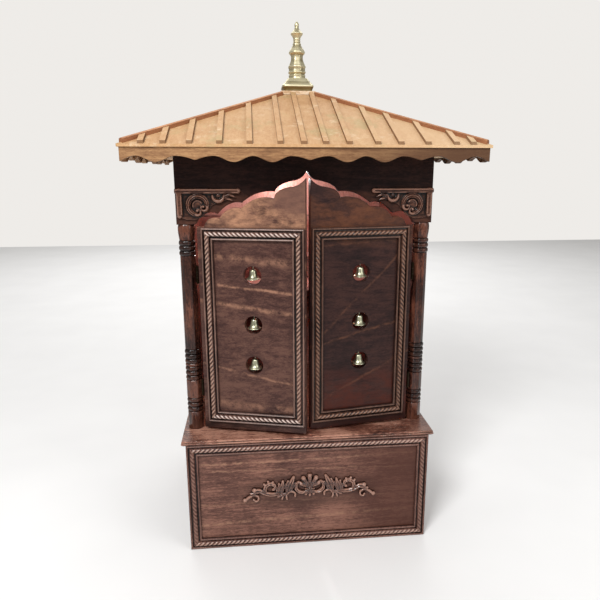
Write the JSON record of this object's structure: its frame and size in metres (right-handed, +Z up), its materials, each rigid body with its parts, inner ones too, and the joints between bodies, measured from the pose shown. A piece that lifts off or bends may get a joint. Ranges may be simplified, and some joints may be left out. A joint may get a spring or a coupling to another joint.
{
  "type": "household altar cabinet",
  "caption": "Wooden household shrine: a panelled base with a carved onlay, cusped-arch doors hung with small bells, corner columns, and a battened hip roof with a brass finial.",
  "frame": {"origin": "centre of the underside of the base, on the surface it stands on", "axes": "+Z up, the doors and carved panel face -Y, +X is to the right of someone facing the doors"},
  "size_m": [0.804, 0.702, 1.3],
  "materials": {
    "walnut_wood": "brown stained and varnished wood, satin to glossy",
    "dark_wood": "very dark stained wood, satin",
    "moulding_wood": "stained wood rope moulding, glossy varnish with light wear on the high places",
    "slab_wood": "reddish varnished wood with cathedral grain, dust specks",
    "inner_wood": "plain reddish wood, matt",
    "roof_wood": "pale golden wood, matt, faint greenish stains",
    "hip_wood": "orange-brown wood strips, matt",
    "brass": "polished yellow brass with dark recesses",
    "hinge_metal": "aged brass"
  },
  "bodies": {
    "root": {"arch_valance": "dark_wood", "base_back_panel": "dark_wood", "base_bottom": "dark_wood", "base_carved_onlay": "walnut_wood", "base_front_panel": "walnut_wood", "base_moulding_bottom": "moulding_wood", "base_moulding_left": "moulding_wood", "base_moulding_right": "moulding_wood", "base_moulding_top": "moulding_wood", "base_side_left": "walnut_wood", "base_side_right": "walnut_wood", "base_top_slab": "slab_wood", "bracket_left": "walnut_wood", "bracket_right": "walnut_wood", "column_hinge_leaf_left_lower": "hinge_metal", "column_hinge_leaf_left_upper": "hinge_metal", "column_hinge_leaf_right_lower": "hinge_metal", "column_hinge_leaf_right_upper": "hinge_metal", "column_left": "walnut_wood", "column_right": "walnut_wood", "finial": "brass", "roof_cap": "roof_wood", "roof_fascia_back": "roof_wood", "roof_fascia_front": "roof_wood", "roof_fascia_left": "roof_wood", "roof_fascia_right": "roof_wood", "roof_hip_strip_back_left": "hip_wood", "roof_hip_strip_back_right": "hip_wood", "roof_hip_strip_front_left": "hip_wood", "roof_hip_strip_front_right": "hip_wood", "roof_panel_back": "roof_wood", "roof_panel_front": "roof_wood", "roof_panel_left": "roof_wood", "roof_panel_right": "roof_wood", "roof_soffit": "roof_wood", "shrine_back_panel": "inner_wood", "shrine_ceiling": "inner_wood", "shrine_shelf": "inner_wood", "shrine_side_left": "walnut_wood", "shrine_side_right": "walnut_wood"},
    "door_left": {"door_left_bell_bottom": "brass", "door_left_bell_middle": "brass", "door_left_bell_top": "brass", "door_left_board": "walnut_wood", "door_left_hinge_leaf_lower": "hinge_metal", "door_left_hinge_leaf_upper": "hinge_metal", "door_left_moulding_bottom": "moulding_wood", "door_left_moulding_inner": "moulding_wood", "door_left_moulding_outer": "moulding_wood", "door_left_moulding_top": "moulding_wood"},
    "door_right": {"door_right_bell_bottom": "brass", "door_right_bell_middle": "brass", "door_right_bell_top": "brass", "door_right_board": "walnut_wood", "door_right_hinge_leaf_lower": "hinge_metal", "door_right_hinge_leaf_upper": "hinge_metal", "door_right_moulding_bottom": "moulding_wood", "door_right_moulding_inner": "moulding_wood", "door_right_moulding_outer": "moulding_wood", "door_right_moulding_top": "moulding_wood"}
  },
  "joints": [
    {"name": "left_door_hinge", "type": "hinge", "parent": "root", "child": "door_left", "pos_m": [-0.258, -0.2295, 0.6], "axis": [0, 0, -1], "range_deg": [-15, 85]},
    {"name": "right_door_hinge", "type": "hinge", "parent": "root", "child": "door_right", "pos_m": [0.258, -0.2295, 0.6], "axis": [0, 0, 1], "range_deg": [-9.6, 90.4]}
  ]
}
